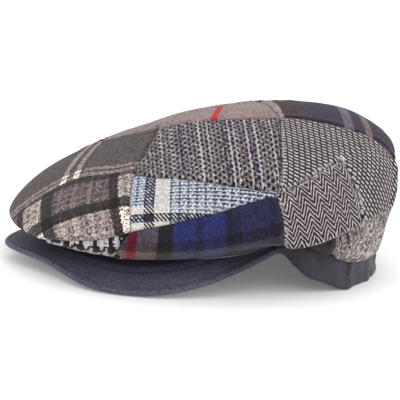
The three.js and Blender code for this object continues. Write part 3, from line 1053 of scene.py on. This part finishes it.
# Wear of all cloth: tuft cells and patches in millimetres, limits of brightness; painted shade along
# the seams
TUFT_WIDE = 0.95
TUFT_TALL = 1.1
PATCHY = 8.0
DARKEST = 0.05
LIGHTEST = 1.45
SEAM_SHADE = 0.35
SEAM_SHADE_WIDE = 0.8


def cloth(finish, colour, height, depth, sheen, grit, size=1.5, fluff=0.5, cloud=0.35):
    """A weave with light and dark flecks, soft patches, a nap and painted shade along the seams."""
    u, v = finish.u, finish.v
    nap = finish.noise(u, v, size, detail=3.0, rough=0.85, w=9.3)
    tuft = finish.random((u / TUFT_WIDE).floor(), (v / TUFT_TALL).floor())
    patches = finish.noise(u, v, PATCHY, detail=3.0, w=4.4)
    flecks = (nap - 0.5) * (6.0 * grit) + (tuft - 0.5) * (1.6 * grit)
    factor = clipped(flecks + (patches - 0.5) * (2.0 * cloud) + 1.0, DARKEST, LIGHTEST)
    # Painted shade along the seams between patches
    seam = hill(finish.seam, 0.0, SEAM_SHADE_WIDE) * -SEAM_SHADE + 1.0
    shaded = finish.shade(colour, factor * seam)
    return finish.done(shaded, height + nap * (2 * fluff), depth, sheen=sheen)


def houndstooth_finish():
    dark = rgb(34, 30, 34)
    light = rgb(196, 190, 190)
    thread = 1.35
    check = 8 * thread
    slide = 1.5
    twill = 4.0
    f, u, v = weave("houndstooth", 0.6, 2.8)
    v = v + slide
    lit = (u / check).part().above(0.5)
    crossed = (v / check).part().above(0.5)
    step = ((u / thread).floor() + (v / thread).floor()) % twill
    warp_on_top = step.below(twill / 2 - 0.5)
    share = crossed + (lit - crossed) * warp_on_top
    height = (ribs(u, thread) + ribs(v, thread)) * 0.5
    return cloth(f, f.blend(share, dark, light), height, depth=0.35, sheen=0.1, grit=0.35, size=1.2)


def light_check_finish():
    """Dotted blue and white between plain bars, with one dark hatched bar each way."""
    white = rgb(228, 228, 232)
    cream = rgb(226, 220, 214)
    blue = rgb(158, 176, 208)
    dark = rgb(28, 26, 34)
    row_pitch = 2.7
    dot_pitch = 5.6
    bar_at, bar_end, plain_end = -5.4, 1.5, 11.3
    rail_at, band_at, band_end, foot = 24.4, 29.6, 35.4, 60.0
    f, u, v = weave("light_check", 0.28, 1.9)
    row = (v / row_pitch).part()
    column = ((u - plain_end) / dot_pitch).part()
    loops = f.noise(u, v, 1.4, w=6.0).above(0.47)
    denser = clipped((u - 12.0) * 0.006, 0.0, 0.24)
    thread = row.below(denser + 0.36) * (loops * 0.8 + 0.12)
    dotted = column.below(0.26) * row.below(0.75)
    tint = (u / (dot_pitch / 2) + (v / row_pitch).floor() * 0.5).part().below(0.55)
    field = f.blend(tint * 0.85, white, blue)
    field = f.blend(thread.larger(dotted * 0.9), field, dark)
    plain_column = inside(u, bar_end, plain_end) * 0.75
    plain_row = inside(v, rail_at, band_at).larger(inside(v, band_end, foot))
    plain_row = plain_row * (1.0 - u.above(plain_end) * 0.85)
    field = f.blend(plain_column.larger(plain_row), field, cream)
    bar = inside(u, bar_at, bar_end)
    band = inside(v, band_at, band_end)
    hatch = ((u * 1.2 - v) / 3.1).part().below(0.62)
    inked = (hatch * bar.larger(band)).larger(bar * band)
    height = (ribs(v, row_pitch) + ribs(u, 1.4)) * 0.5
    return cloth(f, f.blend(inked * 0.95, field, dark), height,
                 depth=0.3, sheen=0.08, grit=0.22, size=1.2, fluff=0.35, cloud=0.15)


def felted_plaid(name, warp, weft, tint, grit, fluff, lean):
    """A napped plaid: the two stripe layouts multiply, so dark crossings come out darkest."""
    f, u, v = weave(name, 0.7, 1.5)
    across = f.bars(u + v * lean, *warp)
    down = f.bars(v, *weft)
    colour = f.shade(f.blend(1.0, across, down, "MULTIPLY"), tint * STUDIO)
    height = f.noise(u, v, 1.1, detail=3.0, rough=0.8)
    return cloth(f, colour, height, depth=0.45, sheen=0.12, grit=grit, size=1.5, fluff=fluff)


def blue_plaid_finish():
    grey = rgb(122, 112, 116)
    royal = rgb(70, 78, 134)
    dark = rgb(58, 56, 58)
    dusk = rgb(60, 60, 80)
    navy = rgb(68, 69, 100)
    red = rgb(150, 34, 62)
    blueish = rgb(180, 178, 206)
    olive = rgb(158, 149, 154)
    pale = rgb(240, 216, 192)
    dim = rgb(150, 142, 156)
    warp = (-60.0, 170.0, [
        (0, grey), (55.5, red), (61.5, grey), (74.6, dark), (84.8, royal), (100.0, navy),
        (104.0, royal), (119.0, dusk), (129.5, navy), (150.0, dusk), (157.0, navy)])
    weft = (-20.0, 60.0, [(0, blueish), (24.0, olive), (31.0, pale), (42.0, dim)])
    return felted_plaid("blue_plaid", warp, weft, tint=0.95, grit=0.38, fluff=0.6, lean=0.12)


def ridge_grey_finish(name="ridge_grey", red=rgb(232, 40, 56)):
    ground = rgb(178, 164, 164)
    white = rgb(232, 224, 222)
    pink = rgb(238, 190, 192)
    warp = (-60.0, 100.0, [(0, ground), (46.8, red), (51.5, ground)])
    weft = (-40.0, 80.0, [(0, white), (51.5, pink), (54.0, white)])
    return felted_plaid(name, warp, weft, tint=0.97, grit=0.36, fluff=0.5, lean=0.45)


def ridge_navy_finish():
    brown = rgb(98, 74, 62)
    navy = rgb(95, 76, 107)
    lilac = rgb(176, 170, 192)
    beige = rgb(214, 184, 174)
    clear = rgb(255, 236, 236)
    white = rgb(226, 220, 226)
    pale = rgb(255, 250, 255)
    warp = (-10.0, 130.0, [
        (0, clear), (15.5, brown), (27.0, navy), (58.5, lilac), (66.0, navy), (75.0, beige),
        (80.5, navy), (104.0, beige), (107.0, navy)])
    weft = (-40.0, 90.0, [(0, white), (44.0, pale), (46.0, white), (60.0, pale), (62.0, white)])
    return felted_plaid("ridge_navy", warp, weft, tint=0.46, grit=0.45, fluff=0.5, lean=0.3)


def glen_check_finish():
    """Dark dots in columns over a coarse ground with light, navy and brown threads."""
    ground = rgb(118, 108, 114)
    dark = rgb(26, 22, 28)
    light = rgb(206, 196, 198)
    navy = rgb(46, 50, 84)
    brown = rgb(104, 88, 92)
    column_wide = 2.85
    dot_pitch = 5.4
    f, u, v = weave("glen_check", 0.6, 2.4)
    across = (u / column_wide).part() - 0.5
    down = (v / dot_pitch + (u / column_wide).floor() * 0.5).part() - 0.5
    blob = across * across * 6.0 + down * down * 5.0 + f.noise(u, v, 1.6, w=2.5) * 0.9
    spots = clipped((1.12 - blob) * 5.0)
    base = f.bars(u, -60.0, 200.0, [
        (0, ground), (24.0, light), (25.4, ground), (32.0, light), (33.4, ground),
        (37.0, navy), (40.0, light), (41.4, ground), (49.6, light), (51.6, ground),
        (56.6, light), (57.8, ground), (66.0, navy), (69.6, light), (71.4, navy), (73.0, ground),
        (74.2, light), (75.6, brown), (81.6, light), (83.0, navy), (86.0, ground),
        (88.2, light), (89.6, ground), (98.0, light), (99.6, brown)])
    strands = rising(f.noise(u * 1.3, v * 0.7, 1.7, detail=1.0, w=7.0), 0.5, 7.0)
    gaps = rising(f.noise(u, v, 2.4, detail=1.0, w=3.0), 0.52, 7.0)
    base = f.blend(gaps * 0.75, base, ground)
    base = f.blend(strands * 0.8, base, light)
    height = (ribs(u, 0.95) + ribs(v, 1.8)) * 0.5 - spots * 0.6
    return cloth(f, f.blend(spots, base, dark), height,
                 depth=0.4, sheen=0.1, grit=0.35, size=1.3, fluff=0.5, cloud=0.2)


def birdseye_finish():
    """Light slanting dashes in columns, each column half a step off the next."""
    dark = rgb(56, 45, 50)
    light = rgb(214, 204, 204)
    column_wide = 3.9
    dash_pitch = 3.1
    slant = 0.42
    f, u, v = weave("birdseye", 0.3, 2.4)
    column = (u / column_wide).floor()
    place = (u / column_wide).part()
    row = (v / dash_pitch + column * 0.5 - place * slant).part()
    dash = stroke(row, 0.27, 9.0) * stroke(place, 0.43, 12.0)
    colour = f.blend(dash, dark, light)
    colour = f.blend(tufts(f, u, v, 1.6, 0.47, 1.2, 11.0) * 0.85, colour, light)
    height = dash * 1.2 + (row * math.pi).wave() * 0.4
    return cloth(f, colour, height,
                 depth=0.45, sheen=0.08, grit=0.25, size=1.2, fluff=0.4, cloud=0.2)


def herringbone_finish():
    """Zigzag stripes; the halves of a zigzag are a little out of step."""
    dark = rgb(54, 44, 50)
    light = rgb(208, 196, 198)
    repeat = 10.2
    pitch = 3.9
    slope = 1.6
    f, u, v = weave("herringbone", 0.32, 2.2)
    fold = ((u / repeat).part() - 0.5).size() * repeat
    slip = f.random((u / (repeat / 2)).floor()) * 0.45
    stripe = stroke(((v + fold * slope) / pitch + slip).part(), 0.24, 9.0)
    frayed = tufts(f, u, v, 1.8, 0.5, 1.0, 12.0)
    colour = f.blend(stripe, dark, light)
    colour = f.blend(frayed * 0.95, colour, rgb(236, 228, 230))
    return cloth(f, colour, stripe * 1.2 + frayed,
                 depth=0.45, sheen=0.08, grit=0.3, size=1.2, fluff=0.4, cloud=0.2)


def front_plaid_finish():
    """A large plaid whose rows are pulled up where the cloth turns over the nose of the cap."""
    f, u, v = weave("front_plaid", 0.9, 1.5)
    pulled = (hill(u, -33.0, 22.0) * 9.0 - hill(u, -80.0, 14.0) * 6.0) * clipped(v * -0.04 + 0.2)
    rows = v + pulled
    across = u - (v.larger(0.0) - 10.0) * 0.1
    upper = levels(f, across, -103.7, 146.0, [
        (-103.7, 0.39), (-42.8, 1.35), (-38.4, 0.33), (-33.8, 1.35), (-29.2, 0.26), (-27.0, 0.39)])
    lower = levels(f, across + 0.6, -3.7, 73.0, [
        (-3.7, 0.05), (2.5, 1.2), (18.6, 0.05), (28.2, 0.5), (33.2, 0.66), (37.2, 0.5),
        (42.2, 0.66), (46.2, 0.5), (54.0, 0.62), (57.0, 0.5), (61.0, 0.62), (64.0, 0.5)])
    down = levels(f, rows, -90.0, 200.0, [
        (-90.0, 0.44), (-18.6, 1.5), (-14.8, 0.45), (-12.4, 1.45), (-8.0, 0.16), (-3.0, 0.62),
        (15.5, 0.75), (19.8, 0.06), (29.3, 1.15)])

    # The dark bars show a faint twill, and the lower squares differ from the upper ones
    twill = f.grey(((u + v) / 1.9).part().below(0.42) * 0.2)
    is_lower = clipped((rows + 8.5) * 0.6)
    warp = f.blend(is_lower, upper, f.blend(1.0, lower, twill, "LIGHTEN"))
    mixed = f.blend(1.0, warp, f.blend(1.0, down, twill, "LIGHTEN"), "MULTIPLY")

    # Broken threads in the light rows, and two sizes of dots in the lower squares
    flecks = f.noise(u, v, 1.7, detail=1.0, w=8.0)
    broken = inside(rows, -18.4, -8.0) * (1.0 - rising(flecks, 0.42, 8.0)) * 0.45
    fine = dots(u, v, 3.3, 3.9, 0.9) * 0.6
    bold = dots(u, v, 5.6, 6.0, 0.55) * rows.below(19.8) * 0.75
    speckle = fine.larger(bold) * is_lower * rising(flecks, 0.36, 6.0)
    pale = clipped(mixed * 2.2 - 0.9)
    tint = f.blend(pale, rgb(208, 184, 184), rgb(228, 217, 206))
    colour = f.shade(f.blend(1.0, mixed, tint, "MULTIPLY"), (1.0 - broken) * (1.0 - speckle))
    height = f.noise(u, v, 0.8, detail=3.0, rough=0.7) - speckle * 0.5
    return cloth(f, colour, height,
                 depth=0.45, sheen=0.12, grit=0.8, size=1.5, fluff=0.7, cloud=0.4)


def marl_finish():
    """Light loops with dark specks, more by the near temple, and painted shade by seams and temple."""
    f, u, v = weave("back_marl", 0.8, 3.0)
    light = rgb(228, 216, 214)
    grey = rgb(122, 111, 110)
    dark = rgb(46, 38, 36)
    near = hill(u, -3.0, 12.0)
    loops = f.noise(u, v, 3.2, detail=3.0, rough=0.85)
    coarse = f.noise(u, v, 4.0, w=5.0) + near * 0.12
    speck = clipped((0.46 - f.cells(u, v, 3.0)) * 6.0) * rising(coarse, 0.43, 9.0)
    colour = f.blend(rising(loops, 0.45, 10.0), grey, light)
    colour = f.blend(speck * 0.9, colour, dark)
    # Painted shade within a few millimetres of the seams and the overhanging fold, and towards the
    # near temple
    colour = f.shade(colour, (1.0 - hill(f.seam, 0.0, 9.0) * 0.3) * (1.0 - near * 0.15))
    return cloth(f, colour, loops * 2.6,
                 depth=0.8, sheen=0.12, grit=0.7, size=1.6, fluff=0.7, cloud=0.5)


def dark_patch_finish():
    f, u, v = weave("dark_patch", 0.5, 2.5)
    colour = f.blend(f.noise(u, v, 2.4, detail=3.0), rgb(34, 27, 33), rgb(68, 58, 64))
    height = f.noise(u, v, 0.8, detail=3.0, rough=0.7)
    return cloth(f, colour, height, depth=0.4, sheen=0.1, grit=0.6, size=1.5, fluff=0.6)


def leather_finish(name, colour, crease, grain, rough, marks_and_painted_light):
    """Grained leather: pebbles of grain, fine creases and a soft gloss."""
    f = Finish(name)
    u, v = f.u, f.v
    shift = (f.noise(u, v, 2.0, w=2.0) - 0.5) * 0.9
    pebble = f.cells(u + shift, v + shift, grain, "DISTANCE_TO_EDGE")
    fine = f.cells(u, v, grain * 0.55)
    grains = (pebble * 3.0).smaller(0.5) + fine * 0.3
    creases = f.noise(u * 0.35, v, 3.0 * crease, detail=4.0, rough=0.65, w=8.0)
    cloud = f.noise(u, v, 14.0, detail=4.0, w=1.0)
    speck = f.noise(u, v, 1.5, detail=2.0, rough=0.7, w=4.0)
    factor = (cloud - 0.5) * 0.5 + (grains - 0.5) * 0.9 + (speck - 0.5) * 2.0 + 1.0
    # The marks carry painted shade, and on the band also a painted highlight
    shaded = f.shade(colour, factor * marks_and_painted_light(u, v))
    gloss = (cloud - 0.5) * 0.3 + (creases - 0.5) * 0.2 + rough
    return f.done(shaded, grains + speck * 1.6 + creases * 1.2, 0.5, rough=gloss, gloss=0.32)


def peak_stitches_and_painted_shade(u, v):
    """A row of dark stitches along the crown's hem; painted shade under it and by the temples."""
    stitch_half = 0.9
    stitch_pitch = 3.0
    first_stitch = 62.0
    temple_shade_start = 155.0
    side = u.size()
    line = (51.2 - side * 0.25).smaller(60.6 - side * 0.3475)
    sewn = inside(v - line, -stitch_half, stitch_half) * side.above(first_stitch)
    stitch = sewn * (u / stitch_pitch).part().below(0.62)
    # Painted shade on the leather just under the crown's hem, where the crown overhangs
    tucked = clipped((line - 6.0 - v) * 0.5)
    # Painted shade towards both temples, under the crown's overhang
    temple = rising(side, temple_shade_start, 0.035)
    return (1.0 - stitch * 0.62) * (1.0 - tucked * 0.6) * (1.0 - temple * 0.5)


def band_marks_and_painted_light(u, v):
    """A join's dark end at the top edge, a painted highlight on a fold, painted shade by the near
    temple.
    """
    notch_start, notch_end, notch_foot = 66.0, 69.4, 10.0
    fold_highlight_at = 89.5
    notch = inside(u, notch_start, notch_end) * v.above(notch_foot)
    # Painted shade by the near temple, under the crown's overhang
    temple = clipped(1.45 - u / 40.0)
    # A painted highlight along a fold, with the dark end of the join
    join_mark_and_fold_highlight = (1.0 - notch * 0.75) * (hill(u, fold_highlight_at, 2.2) * 0.35 + 1.0)
    return join_mark_and_fold_highlight * (1.0 - temple * 0.5)


def lining_finish():
    f = Finish("lining")
    cloud = f.noise(f.u, f.v, 8.0, detail=3.0)
    colour = f.blend(cloud, rgb(34, 34, 46), rgb(52, 52, 68))
    return f.done(colour, ribs(f.u, 0.7) + cloud, 0.1, rough=0.45, sheen=0.1, gloss=0.4)


lining = lining_finish()
finishes = {
    "front_plaid": front_plaid_finish(),
    "ridge_grey": ridge_grey_finish(),
    "ridge_navy": ridge_navy_finish(),
    "back_marl": marl_finish(),
    "houndstooth": houndstooth_finish(),
    "blue_plaid": blue_plaid_finish(),
    "light_check": light_check_finish(),
    "glen_check": glen_check_finish(),
    "birdseye": birdseye_finish(),
    "herringbone": herringbone_finish(),
    "dark_patch": dark_patch_finish(),
    "soft_grey": ridge_grey_finish("soft_grey", rgb(190, 178, 180)),
}
FAR_CLOTH = {
    "houndstooth": "glen_check",
    "blue_plaid": "herringbone",
    "light_check": "ridge_navy",
    "glen_check": "soft_grey",
    "birdseye": "blue_plaid",
    "herringbone": "houndstooth",
    "dark_patch": "dark_patch",
}
FIRST_SEED = 40
SEEDS_APART = 5


def dress(piece, node, slot, *materials):
    """Gives a piece its materials and puts it in place of a solid."""
    for material in materials:
        piece.data.materials.append(material)
    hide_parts(node)
    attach(piece, "root")


for number, (name, patch) in enumerate(all_patches()):
    piece = cloth_patch(f"{name}_cloth", patch, FIRST_SEED + SEEDS_APART * number)
    look = FAR_CLOTH[patch["base"]] if name.endswith("_right") else patch["base"]
    dress(piece, name, "ridge_grey" if look == "soft_grey" else look, finishes[look], lining)

peak_leather = leather_finish("peak_leather", rgb(94, 91, 111), crease=1.0, grain=1.5,
                               rough=0.5, marks_and_painted_light=peak_stitches_and_painted_shade)
band_leather = leather_finish("band_leather", rgb(72, 66, 82), crease=1.6, grain=0.9,
                               rough=0.38, marks_and_painted_light=band_marks_and_painted_light)
dress(peak_piece(), "peak", "peak_leather", peak_leather)
dress(band_piece(), "back_band", "band_leather", band_leather, lining)

# Floor, light and camera: places in metres
FLOOR_REACH = 6.0
FLOOR_GLOW = 0.12
WORLD_LIGHT = 0.92
LAMPS = (
    # name, place, aim, size, watts
    ("key", (0.9, -0.5, 1.3), (0, 0, 0.05), 1.2, 4.6),
    ("fill", (1.5, 0.1, 0.6), (0, 0, 0.05), 1.4, 2.6),
    ("top", (-0.2, 0.1, 1.6), (0, 0, 0.05), 1.6, 4.0),
    ("front", (0.5, -1.5, 0.5), (0, -0.1, 0.03), 1.0, 5.0),
    ("rear", (0.5, 1.4, 0.5), (0, 0, 0.05), 1.0, 6.0),
)


def floor():
    finish = Finish("floor")
    finish.feed(finish.shader, {
        "Base Color": (0.9, 0.9, 0.9, 1), "Emission Color": (1, 1, 1, 1),
        "Emission Strength": FLOOR_GLOW, "Roughness": 0.9, "Specular IOR Level": 0.1})
    mesh = bpy.data.meshes.new("floor")
    corners = [(x * FLOOR_REACH, y * FLOOR_REACH, 0)
               for x, y in ((-1, -1), (1, -1), (1, 1), (-1, 1))]
    mesh.from_pydata(corners, [], [(0, 1, 2, 3)])
    mesh.materials.append(finish.material)
    placed("floor", mesh)


def lamp(name, place, aim, size, watts):
    light = bpy.data.lights.new(name, "AREA")
    light.shape = "DISK"
    light.size = size
    light.energy = watts
    made = placed(name, light)
    made.location = place
    made.rotation_mode = "QUATERNION"
    made.rotation_quaternion = (Vector(place) - Vector(aim)).to_track_quat("Z", "Y")


floor()
for row in LAMPS:
    lamp(*row)
world = bpy.data.worlds.new("studio")
world.use_nodes = True
world.node_tree.nodes["Background"].inputs[0].default_value = (1, 1, 1, 1)
world.node_tree.nodes["Background"].inputs[1].default_value = WORLD_LIGHT
bpy.context.scene.world = world
bpy.context.scene.view_settings.view_transform = "Standard"

# The camera, fitted to the photo: angles in degrees, the other sizes in millimetres
CAMERA_AZIMUTH = 73.09
CAMERA_RISE = 14.13
CAMERA_ROLL = 4.77
CAMERA_AWAY = 1300.0
CAMERA_LENS = 169.0
CAMERA_SENSOR = 36.0
LOOK_AT = np.array([0.0, -15.0, 55.0])
SLIDE_RIGHT = -14.53
SLIDE_UP = -10.83


def camera():
    a, e, r = np.radians((CAMERA_AZIMUTH, CAMERA_RISE, CAMERA_ROLL)).tolist()
    away = np.array([math.sin(a) * math.cos(e), -math.cos(a) * math.cos(e), math.sin(e)])
    level = np.array([math.cos(a), math.sin(a), 0.0])
    plumb = np.cross(away, level)
    right = level * math.cos(r) + plumb * math.sin(r)
    up = -level * math.sin(r) + plumb * math.cos(r)
    place = LOOK_AT + away * CAMERA_AWAY + right * SLIDE_RIGHT + up * SLIDE_UP
    data = bpy.data.cameras.new("camera")
    data.lens = CAMERA_LENS
    data.sensor_width = CAMERA_SENSOR
    data.clip_start = 0.05
    data.clip_end = 20
    made = placed("camera", data)
    turn = Matrix([(right[k], up[k], away[k]) for k in range(3)])
    made.matrix_world = Matrix.Translation(Vector(to_world(place))) @ turn.to_4x4()
    bpy.context.scene.camera = made


camera()
